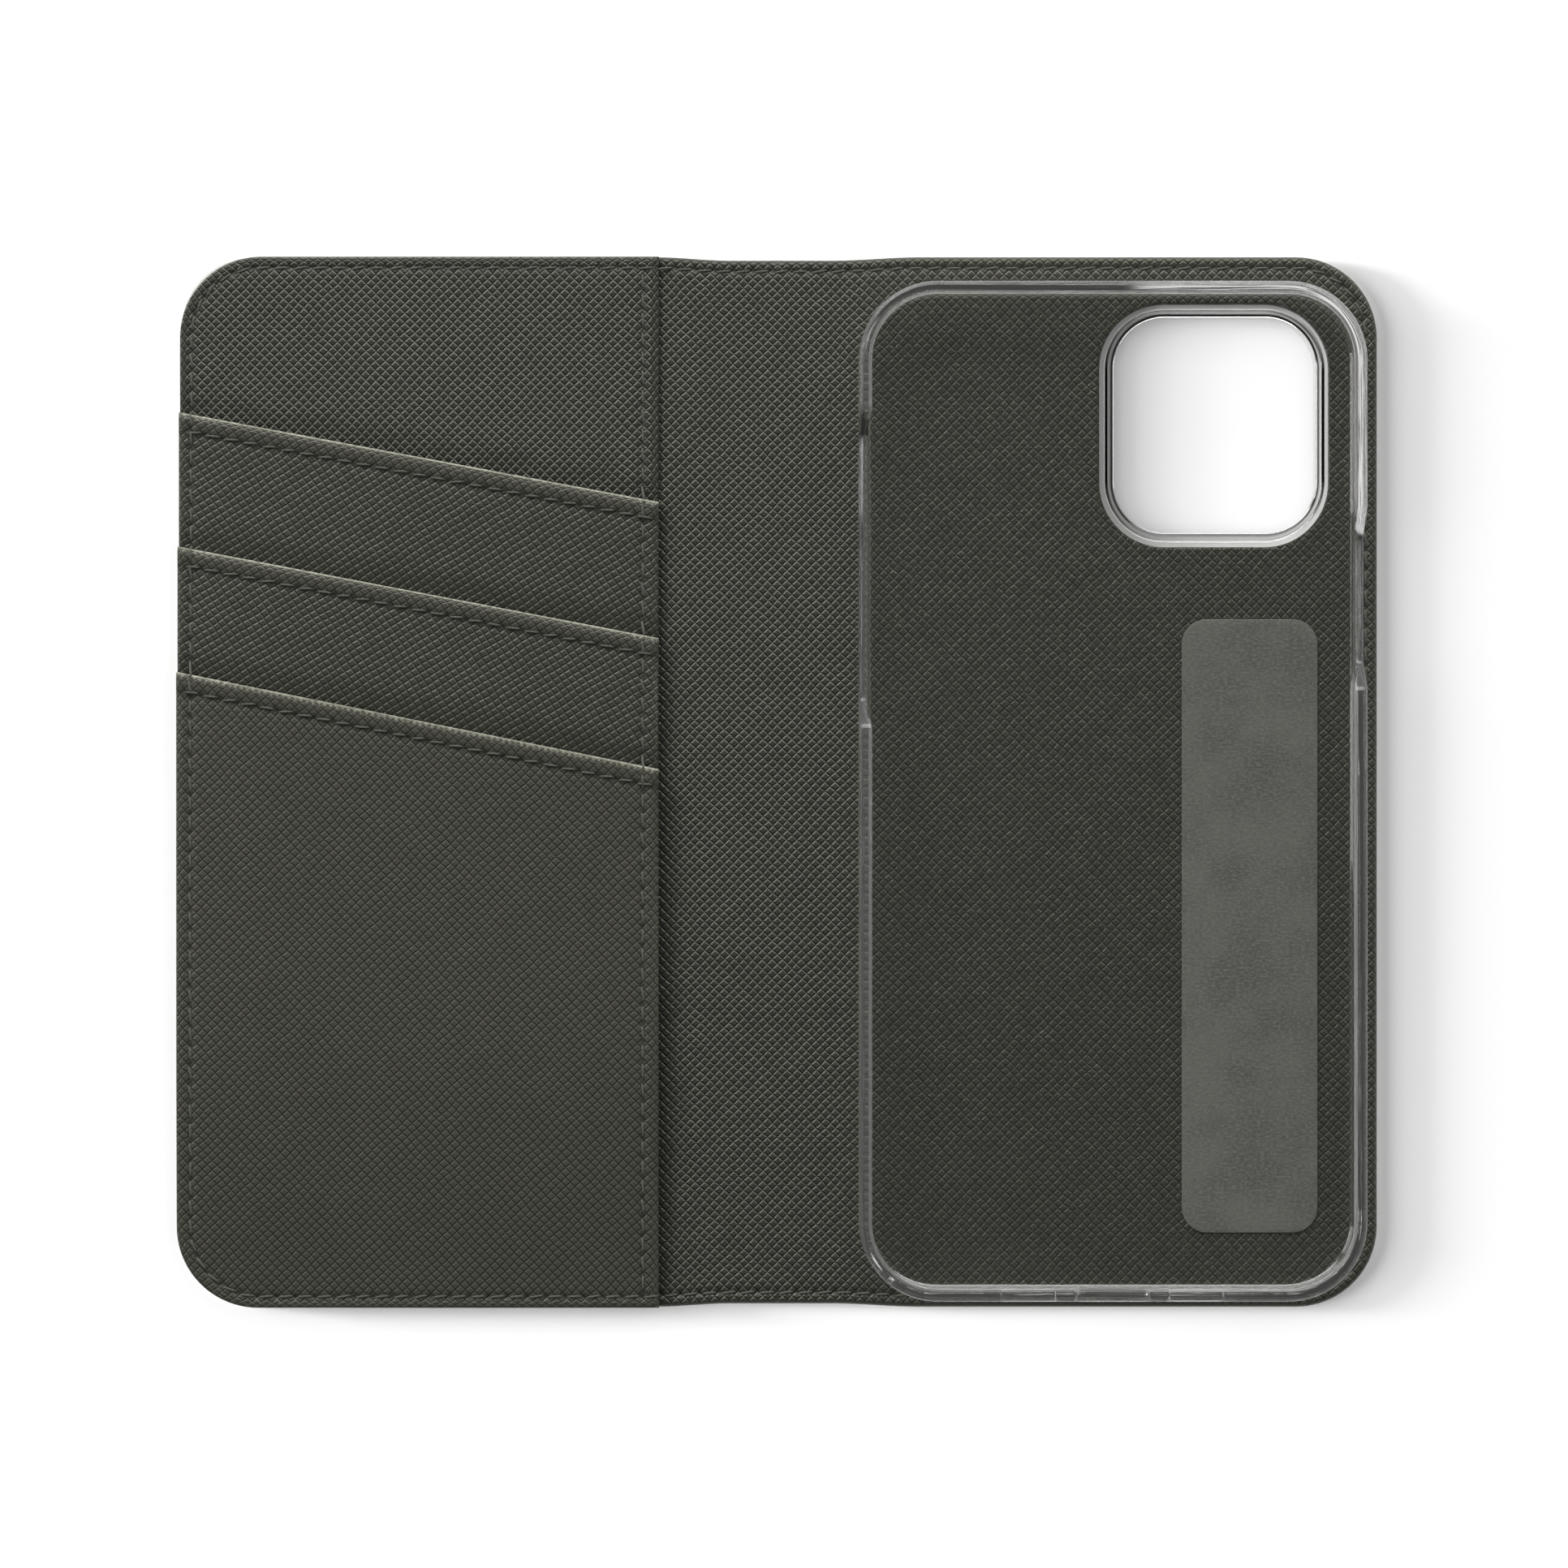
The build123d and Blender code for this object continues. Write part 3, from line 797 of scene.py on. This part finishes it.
def felt():
    """Thin grey felt with short tangled fibres."""
    coat = new_coat("bond_felt")
    flat = coat.flat_map()
    fibre = coat.noise(coat.vector("MULTIPLY", flat, (0.55, 1.0, 1.0)), 3.0, 6.0, 0.7)
    cloud = coat.noise(flat, 0.09, 4.0, 0.6)
    speck = coat.noise(flat, 1.3, 3.0, 0.7)
    tone = coat.mixed(coat.ranged(cloud, 0.35, 0.65), olive(0.122, 0.9), olive(0.175, 0.9))
    tone = coat.mixed(coat.ranged(fibre, 0.40, 0.70), tone, olive(0.24, 0.9))
    tone = coat.mixed(coat.ranged(speck, 0.62, 0.76, 0, 0.7), tone, olive(0.06, 0.9))
    return coat.coated(
        base_color=tone,
        roughness=0.9,
        specular_IOR_level=0.2,
        sheen_weight=0.15,
        normal=coat.bump(fibre, 0.05, 0.7),
    )


def fibre_board():
    """Grey-brown fibre board, sealed between the leathers."""
    coat = new_coat("stiffener_board")
    fleck = coat.noise(coat.object_map(), 700.0, 5.0, 0.7)
    tone = coat.mixed(fleck, (0.20, 0.17, 0.13, 1), (0.42, 0.37, 0.30, 1))
    return coat.coated(base_color=tone, roughness=0.85, normal=coat.bump(fleck, 0.04, 0.6))


def white_table():
    """A plain white table with the faintest unevenness."""
    coat = new_coat("table")
    cloud = coat.noise(coat.object_map(), 3.0, 2.0)
    tone = coat.mixed(cloud, (0.90, 0.90, 0.90, 1), (0.92, 0.92, 0.92, 1))
    return coat.coated(base_color=tone, roughness=0.7, specular_IOR_level=0.2)


def finished(made, material):
    """Gives a piece its material."""
    made.data.materials.append(material)
    return made


lining_finish = crosshatch_leather()
outer_finish = outer_leather()
dark_yarn = yarn("thread", olive(0.045), olive(0.16))
pale_yarn = yarn("pale_thread", (0.5, 0.49, 0.46, 1), (0.86, 0.85, 0.82, 1))
plastic_finish = clear_plastic("clear_shell", 0.955, 0.0, 0.01, 0.03, 0.85)
# Painted shade: the walls' plastic is tinted greyer than the floor's, which darkens the walls.
wall_finish = clear_plastic("clear_shell_wall", 0.78, 0.08, 0.03, 0.08, 0.93)
collar_finish = clear_plastic("clear_shell_collar", 0.955, 0.0, 0.01, 0.03, 0.72)
felt_finish = felt()
board_finish = fibre_board()

# ---- camera, light and floor ----

VIEW_HEIGHT = 920.0  # above the covers
VIEW_MIDDLE = (0.97, -0.3)
LENS = 142.5


def set_camera():
    """Looks straight down on the open case, with the top of the phone's bay at the top."""
    data = bpy.data.cameras.new("camera")
    data.lens = LENS
    data.sensor_width = 36.0
    data.clip_start = 0.05
    scene.camera = placed("camera", data)
    scene.camera.location = np.array((*VIEW_MIDDLE, VIEW_HEIGHT + cover_top)) * MM


def lamp(name, kind, place, power, size, lights):
    """A lamp that faces the middle of the case. The collection lights says what it lights."""
    data = bpy.data.lights.new(name, kind)
    data.energy = power
    if kind == "AREA":
        data.shape = "RECTANGLE"
        data.size, data.size_y = size
    else:
        data.angle = radians(size)
    made = placed(name, data)
    made.location = place
    made.rotation_mode = "QUATERNION"
    made.rotation_quaternion = made.location.to_track_quat("Z", "Y")
    made.light_linking.receiver_collection = lights
    made.visible_glossy = made.visible_transmission = kind == "AREA"


def studio_room():
    """A room that is dark overhead, where the camera hangs, and brighter low down and towards +Y."""
    room = Nodes(bpy.data.worlds.new("room"))
    parts = room.node("ShaderNodeSeparateXYZ", {0: room.object_map("Generated")})
    high_up = room.ranged(parts.outputs[2], 0.45, 0.92, 0.60, 0.08)
    behind = room.ranged(parts.outputs[1], -0.7, 0.7, 0.3, 1.2)
    strength = room.math("MULTIPLY", high_up, behind)
    shader = room.node("ShaderNodeBackground", {"Color": (1, 1, 1, 1), "Strength": strength})
    scene.world = room.done(shader.outputs[0])


def set_stage():
    """The white table, the room and the lamps. The table has suns of its own."""
    size = 4000.0
    corners = [(-size, -size, 0), (size, -size, 0), (size, size, 0), (-size, size, 0)]
    table = object_of("table", corners, [(0, 1, 2, 3)])
    table.data.materials.append(white_table())
    only_table = bpy.data.collections.new("only_table")
    only_table.objects.link(table)
    all_but_table = bpy.data.collections.new("all_but_table")
    all_but_table.objects.link(table)
    all_but_table.collection_objects[0].light_linking.link_state = "EXCLUDE"
    lamp("key_softbox", "AREA", (-0.30, 2.40, 1.50), 128.0, (5.0, 1.7), all_but_table)
    lamp("left_softbox", "AREA", (-0.90, 0.20, 0.70), 2.0, (0.45, 0.35), all_but_table)
    lamp("side_sun", "SUN", (-1.0, 0.08, 0.62), 2.3, 40, only_table)
    lamp("low_sun", "SUN", (-1.0, 0.12, 0.20), 4.6, 10, only_table)
    lamp("overhead_sun", "SUN", (0.1, 0.0, 1.0), 0.85, 60, only_table)
    studio_room()
    scene.view_settings.view_transform = "Standard"


set_camera()
set_stage()

# ---- the covers' leather ----

SIDES = {"front": -1, "back": 1}  # which side of the spine's middle each cover is on
holes = {"front": None, "back": camera_hole}


def half_outline(half, corner=CASE_CORNER):
    """The half of the case on one side of the spine's middle."""
    return Outline(case_low, case_high, corner, joins=[((-SIDES[half], 0), 0)])


def across_crease(made):
    """Bakes a piece's world transform into its mesh."""
    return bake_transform(made)


def laid(made, outline, hole=None):
    """Works out the area that a sheet was cut to. Nothing uses the area."""
    ring = outline.ring(0, 1)
    area = shoelace(ring) - (shoelace(hole.ring(0, 1)) if hole else 0)


def shoelace(ring):
    """The area inside a closed ring of points."""
    x, y = ring.T
    return abs(np.dot(x, np.roll(y, -1)) - np.dot(y, np.roll(x, -1))) / 2


def make_lining(half):
    """Half of the lining, pressed down on the outer leather round the edge."""

    def relief(xy):
        return 0.95 - 0.25 * smooth(8, 16, xy[:, 0])

    # Painted shadow: a dark band on the lining along the pocket panels' free edge.
    def shade(xy):
        return 0.8 * np.exp(-np.abs(xy[:, 0] - panel_right) / 0.45)

    outline = half_outline(half)
    made = sheet(
        f"{half}_half_lining", outline, lining_top, lining_underside, LINING_ROLL,
        hole=holes[half], seams=[perimeter], relief=relief, shade=shade, far_step=2.0,
    )
    finished(made, lining_finish)
    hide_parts(f"{half}_lining", f"{half}_crease_lining", "spine_lining")
    laid(across_crease(made), outline, holes[half])


def make_skin(half):
    """Half of the outer leather, whose good side is its underside."""
    outline = half_outline(half, SKIN_CORNER if half == "front" else CASE_CORNER)

    def underside(xy):
        return rolled(outline.depth(xy), SKIN_ROLL) + rolled(-camera_hole.depth(xy), CUT_ROLL)

    made = sheet(
        f"{half}_half_outer_leather", outline, underside, flat_at(skin_top - 0.02), SKIN_ROLL,
        hole=holes[half], seams=[perimeter], faces_down=True, groove=SKIN_GROOVE, far_step=2.0,
    )
    finished(made, outer_finish)
    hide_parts(f"{half}_outer_skin", f"{half}_crease_skin", "spine_outer_skin")
    laid(across_crease(made), outline, holes[half])


for half in SIDES:
    make_skin(half)
    make_lining(half)

# ---- the pockets ----

PANEL_TURN = {"card_pocket_upper": 12.1, "card_pocket_middle": 13.1, "card_pocket_lower": 1.9}
PANEL_RELIEF = {"pocket_base_panel": 1.0, "card_pocket_lower": 0.5}


def make_panel(node):
    """A panel of the same leather as the lining, sewn down over the one under it."""
    outline = outlines[node]
    seams = [perimeter, edge_seam]
    if node in POCKETS:
        seams.append(mouth_seams[node])

    def relief(xy):
        depth = np.full(len(xy), PANEL_RELIEF.get(node, 0.7))
        if node in POCKETS:
            depth *= 1 - 0.35 * smooth(MOUTH_SEAM, MOUTH_SEAM - 0.8, mouth_depth(node, xy))
        return depth

    def underside(xy):
        return panel_level(node, xy) - PANEL_THICKNESS

    # The painted highlight's place: a narrow line along the mouth's fold.
    def painted_highlight(xy):
        return hump(mouth_depth(node, xy) - 0.06, 0.16)

    made = sheet(
        f"{node}_leather", outline, partial(panel_top, node), underside, PANEL_ROLL,
        turn=PANEL_TURN.get(node, 0.0), seams=seams, relief=relief,
        shade=partial(cover_shade, node), painted_highlight=painted_highlight if node in POCKETS else None,
    )
    finished(made, lining_finish)
    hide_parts(node)
    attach(made, "front_cover")
    laid(made, outline)
    return made


under = "front_half_lining"
for node in PANELS:
    under = make_panel(node).name

# ---- the thread ----


def on_half(half):
    """A test of whether a stitch is on one half of the case."""
    return lambda centre: centre[0] * SIDES[half] > 0


for half in SIDES:
    top_row = stitches(f"{half}_half_top_stitches", perimeter, shown_height, 1, on_half(half))
    finished(top_row, dark_yarn)
    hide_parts(f"thread_{half}_perimeter", "thread_spine_ends")
    across_crease(top_row)
    bed = flat_at(SKIN_GROOVE)
    low_row = stitches(f"{half}_half_under_stitches", perimeter, bed, -1, on_half(half))
    finished(low_row, pale_yarn)
    across_crease(low_row)


def make_panel_stitches(name, seam, node):
    """The row of stitches along one edge of the panels."""
    row = stitches(name, seam, shown_height)
    finished(row, dark_yarn)
    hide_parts(node)
    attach(row, "front_cover")


make_panel_stitches("panel_edge_stitches", edge_seam, "thread_panel_edge")
for node, seam in mouth_seams.items():
    row_node = node.replace("card_pocket", "thread_mouth")
    make_panel_stitches(f"{node}_mouth_stitches", seam, row_node)

# ---- the felt strip and the boards ----


def make_strip():
    """The felt strip that bonds the shell to the lining."""
    node = "shell_bond_strip"
    outline = Outline(low(node)[:2], high(node)[:2], STRIP_CORNER)

    def top(xy):
        return high(node)[2] - 0.02 - rolled(outline.depth(xy), STRIP_ROLL)

    bed = flat_at(low(node)[2] + 0.01)
    made = sheet(f"{node}_felt", outline, top, bed, STRIP_ROLL, relief=0.0)
    finished(made, felt_finish)
    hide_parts(node)
    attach(made, "back_cover")
    laid(made, outline)


make_strip()

# The boards and the hidden stitch rows stay as the CAD's own solids.
for node, made in frame["nodes"].items():
    if "stiffener" in node:
        made.data.materials[0] = board_finish
    if "thread" in node:
        made.data.materials[0] = dark_yarn

# ---- the clear shell ----

BASE_ROUND = 2.6
BAY_ROUND = 0.7
LIP = 0.5
WALL = 1.45
BAY_CORNER = 10.15
VOLUME_NOTCH = (7.8, 54.7)  # from and to, along the shell's sides
POWER_NOTCH = (13.3, 40.8)
NOTCH_RAMP = 4.8
COLLAR_BEVEL = 0.95
NOTCH_SILL = 1.8  # how high the wall stays above the bay's floor in a button's notch
RING_STEP = 0.8
PROFILE_STEP = 0.25  # between the steps of the wall's profile on the flat map
HAZE_ABOVE = 4.9  # the level from which the wall takes its hazy finish
# each window's offset along the wall, width, height and corner: the charging port, two speakers
WINDOWS = ((0.0, 11.5, 5.4, 1.5), (-12.4, 8.6, 2.2, 0.99), (12.4, 8.6, 2.2, 0.99))
COLLAR_LINES = (2, 6)  # the steps of the collar's profile where its two painted shade lines start
shell_low, shell_high = low("phone_shell"), high("phone_shell")
shell_middle = (shell_low + shell_high) / 2
floor_low = high("shell_bond_strip")[2]
floor_top = mount("phone_seat")[2]
rim_top = shell_high[2]
foot = shell_low[2]


def quarter(steps):
    """The sines and cosines of a quarter turn's steps."""
    turns = np.linspace(0, pi / 2, steps + 1)
    return zip(np.sin(turns), np.cos(turns))


def rounded_ring(half, radius, step):
    """Points round a rounded rectangle: the middles that its arcs turn on, and which way is out.

    The outline at any distance out is middles + outs * (radius + distance).
    """
    core = np.array(half) - radius
    middles, outs = [], []
    for turn, (sx, sy) in enumerate(((1, 1), (-1, 1), (-1, -1), (1, -1))):
        for angle in np.linspace(turn, turn + 1, 19) * pi / 2:
            middles.append((sx * core[0], sy * core[1]))
            outs.append((cos(angle), sin(angle)))
        side = 2 * core[turn % 2]
        pieces = round(side / step)
        way = np.array(outs[-1])[::-1] * (-1, 1)
        start = np.array(middles[-1])
        for i in range(1, pieces):
            middles.append(tuple(start + way * side * i / pieces))
            outs.append(outs[-1])
    return np.array(middles), np.array(outs)


def notch_depth(x, y):
    """How far a button's notch has opened at a place on the rim, from 0 to 1."""
    low_y, high_y = VOLUME_NOTCH if x < 0 else POWER_NOTCH
    inside = smooth(0, NOTCH_RAMP, min(y - low_y, high_y - y))
    on_side = abs(x) > shell_high[0] - shell_middle[0] - WALL - 1
    return float(inside) if on_side else 0.0


def wall_profile(depth):
    """The (distance out, height) points of the shell's wall, where a notch has opened by depth."""
    height = rim_top + (floor_top + NOTCH_SILL - rim_top) * depth
    lip = LIP * max(1 - 3 * depth, 0)
    turn = 0.14 + 0.54 * depth
    outer_turn = 0.7
    base = BASE_ROUND - 0.5 * depth
    points = [(WALL - base - 0.1, floor_low)]
    points += [(WALL - base * (1 - s), floor_low + base * (1 - c)) for s, c in quarter(8)]
    points += [(WALL - outer_turn * (1 - c), height - outer_turn * (1 - s)) for s, c in quarter(6)]
    points += [(turn * (1 - s) - lip, height - turn * (1 - c)) for s, c in quarter(4)]
    for out, down in ((1, 0.7), (0.8, 0.75), (0, 1)):
        points.append((-lip * out, height - turn - lip * down))
    points += [(-BAY_ROUND * (1 - c), floor_top + BAY_ROUND * (1 - s)) for s, c in quarter(8)]
    points.append((-BAY_ROUND - 0.4, floor_top))
    return points


def collar_profile():
    """The (distance out, height) points of the camera's collar, from the bay down round its foot."""
    bevel = COLLAR_BEVEL
    points = [(bevel + out, floor_top) for out in (0.6, 0.42, 0.40, 0.02)]
    points += [(bevel * (1 - s), floor_top - 0.7 * bevel * (1 - c)) for s, c in quarter(6)]
    points += [(0.2 * (1 - s), foot + 0.2 * (1 - c)) for s, c in reversed(list(quarter(3)))]
    points += [(COLLAR_WALL - 0.2 * (1 - s), foot + 0.2 * (1 - c)) for s, c in quarter(3)]
    points += [(COLLAR_WALL + 0.25 * (1 - c), floor_low - 0.25 * (1 - s)) for s, c in quarter(3)]
    points.append((COLLAR_WALL + 0.4, floor_low))
    return points


def lofted(middles, outs, radius, profiles, place):
    """The points and quads of a wall that follows a ring, one loop for each step of the profile."""
    profiles = np.array(profiles)
    count = len(middles)
    points, faces = [], []
    for k in range(profiles.shape[1]):
        xy = middles + outs * (radius + profiles[:, k, 0])[:, None] + place
        points += np.column_stack((xy, profiles[:, k, 1])).tolist()
        if k:
            a, b = (k - 1) * count, k * count
            for i in range(count):
                j = (i + 1) % count
                faces.append((a + i, a + j, b + j, b + i))
    return points, faces


def window_bars():
    """Rounded bars through the shell's end wall, one for each window."""
    middle = mount("charging_port_window")
    points, faces = [], []
    for offset, width, height, corner in WINDOWS:
        middles, outs = rounded_ring((width / 2, height / 2), corner, 4.0)
        ring = middles + outs * corner + (middle[0] + offset, middle[2])
        faces += tube_faces(len(points), 2, len(ring))
        for y in (shell_low[1] - 1, shell_low[1] + WALL + 1):
            points += [(x, y, z) for x, z in ring]
    return object_of("window_bars", points, faces)


def cut(made, cutter):
    """Takes one piece's volume out of another."""
    modifier = made.modifiers.new("cut", "BOOLEAN")
    modifier.operation = "DIFFERENCE"
    modifier.solver = "EXACT"
    modifier.object = cutter
    graph = bpy.context.evaluated_depsgraph_get()
    mesh = bpy.data.meshes.new_from_object(made.evaluated_get(graph))
    made.modifiers.clear()
    made.data = mesh
    mesh.set_sharp_from_angle(angle=radians(50))
    bpy.data.objects.remove(cutter)


def shell_floor(points, level, outer_at, inner_at, downward):
    """The flat faces between two loops of the shell's points. It adds the points inside."""
    loops = [np.array([points[i][:2] for i in at]) for at in (outer_at, inner_at)]
    hole = Outline(loops[1].min(axis=0), loops[1].max(axis=0), CAMERA_CORNER)
    outline = Outline(loops[0].min(axis=0), loops[0].max(axis=0), BAY_CORNER)
    columns = np.arange(outline.low[0], outline.high[0], 6.0)
    rows = np.arange(outline.low[1], outline.high[1], 6.0)
    grid = np.stack(np.meshgrid(columns, rows), -1).reshape(-1, 2)
    grid = grid[(outline.depth(grid) > 3) & (hole.depth(grid) < -3)]
    xy, triangles, rings = filled(loops, grid)
    index = dict(zip(rings[0] + rings[1], outer_at + inner_at))
    for i, (x, y) in enumerate(xy):
        if i not in index:
            index[i] = len(points)
            points.append((x, y, level))
    faces = [[index[i] for i in triangle] for triangle in triangles]
    return [face[::-1] for face in faces] if downward else faces


def shell_finishes(polygons):
    """Which finish each face of the shell takes: 0 for clear, 1 for a wall, 2 for the collar."""
    centres = np.array([polygon.center for polygon in polygons]) / MM
    bay = Outline(shell_low[:2] + WALL, shell_high[:2] - WALL, BAY_CORNER)
    on_wall = (bay.depth(centres[:, :2]) < 0.6) & (centres[:, 2] > HAZE_ABOVE)
    on_collar = camera_hole.depth(centres[:, :2]) > 0
    return (on_wall + 2 * on_collar).tolist()


def give_collar_shade_lines(made, start, outs):
    """Marks the collar's painted shade lines, black lines that stand in for the shadowed gap seen
    through its edges. Its points begin at start, with one for each out in a loop.
    """
    count = len(outs)
    darkness = np.zeros(len(made.data.vertices))
    for step, strength in zip(COLLAR_LINES, (np.abs(outs[:, 0]), np.ones(count))):
        first = start + step * count
        darkness[first : first + 2 * count] = np.tile(strength, 2)
    give_attribute(made, "collar_shade_line", darkness)


def give_shell_uv(made, points, wall_end, ring):
    """Lays the wall out flat: along it, there and back so that no seam shows, then up it."""
    steps = wall_end // ring
    along = np.abs(np.arange(ring) - ring / 2) * RING_STEP
    up = np.arange(steps) * PROFILE_STEP
    uv = np.array(points)[:, :2]
    uv[:wall_end] = np.column_stack((np.tile(along, steps), np.repeat(up, ring)))
    give_uv(made, uv)


def make_shell():
    """The shell, lofted round the phone's bay and round the camera's hole."""
    half = (shell_high - shell_low)[:2] / 2 - WALL
    middles, outs = rounded_ring(half, BAY_CORNER, RING_STEP)
    rims = middles + outs * BAY_CORNER
    profiles = [wall_profile(notch_depth(x, y + shell_middle[1])) for x, y in rims]
    points, faces = lofted(middles, outs, BAY_CORNER, profiles, shell_middle[:2])
    wall_end = len(points)
    inset = COLLAR_GAP + COLLAR_WALL
    corner = CAMERA_CORNER - inset
    collar_middles, collar_outs = rounded_ring(CAMERA_CUT / 2 - inset, corner, 2.0)
    collars = [collar_profile()] * len(collar_outs)
    collar = lofted(collar_middles, collar_outs, corner, collars, camera_middle)
    points += collar[0]
    faces += [tuple(i + wall_end for i in face) for face in collar[1]]
    ring, hole_ring = len(outs), len(collar_outs)
    wall_at, collar_at = list(range(wall_end)), list(range(wall_end, len(points)))
    upper = (wall_at[-ring:], collar_at[:hole_ring])
    lower = (wall_at[:ring], collar_at[-hole_ring:])
    faces += shell_floor(points, floor_top, *upper, downward=False)
    faces += shell_floor(points, floor_low, *lower, downward=True)
    made = object_of("clear_shell", points, faces, sharp=50)
    finished(made, plastic_finish)
    made.data.materials.append(wall_finish)
    made.data.materials.append(collar_finish)
    made.data.polygons.foreach_set("material_index", shell_finishes(made.data.polygons))
    give_collar_shade_lines(made, wall_end, collar_outs)
    give_shell_uv(made, points, wall_end, ring)
    cut(made, window_bars())
    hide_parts("phone_shell")
    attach(made, "back_cover")


make_shell()
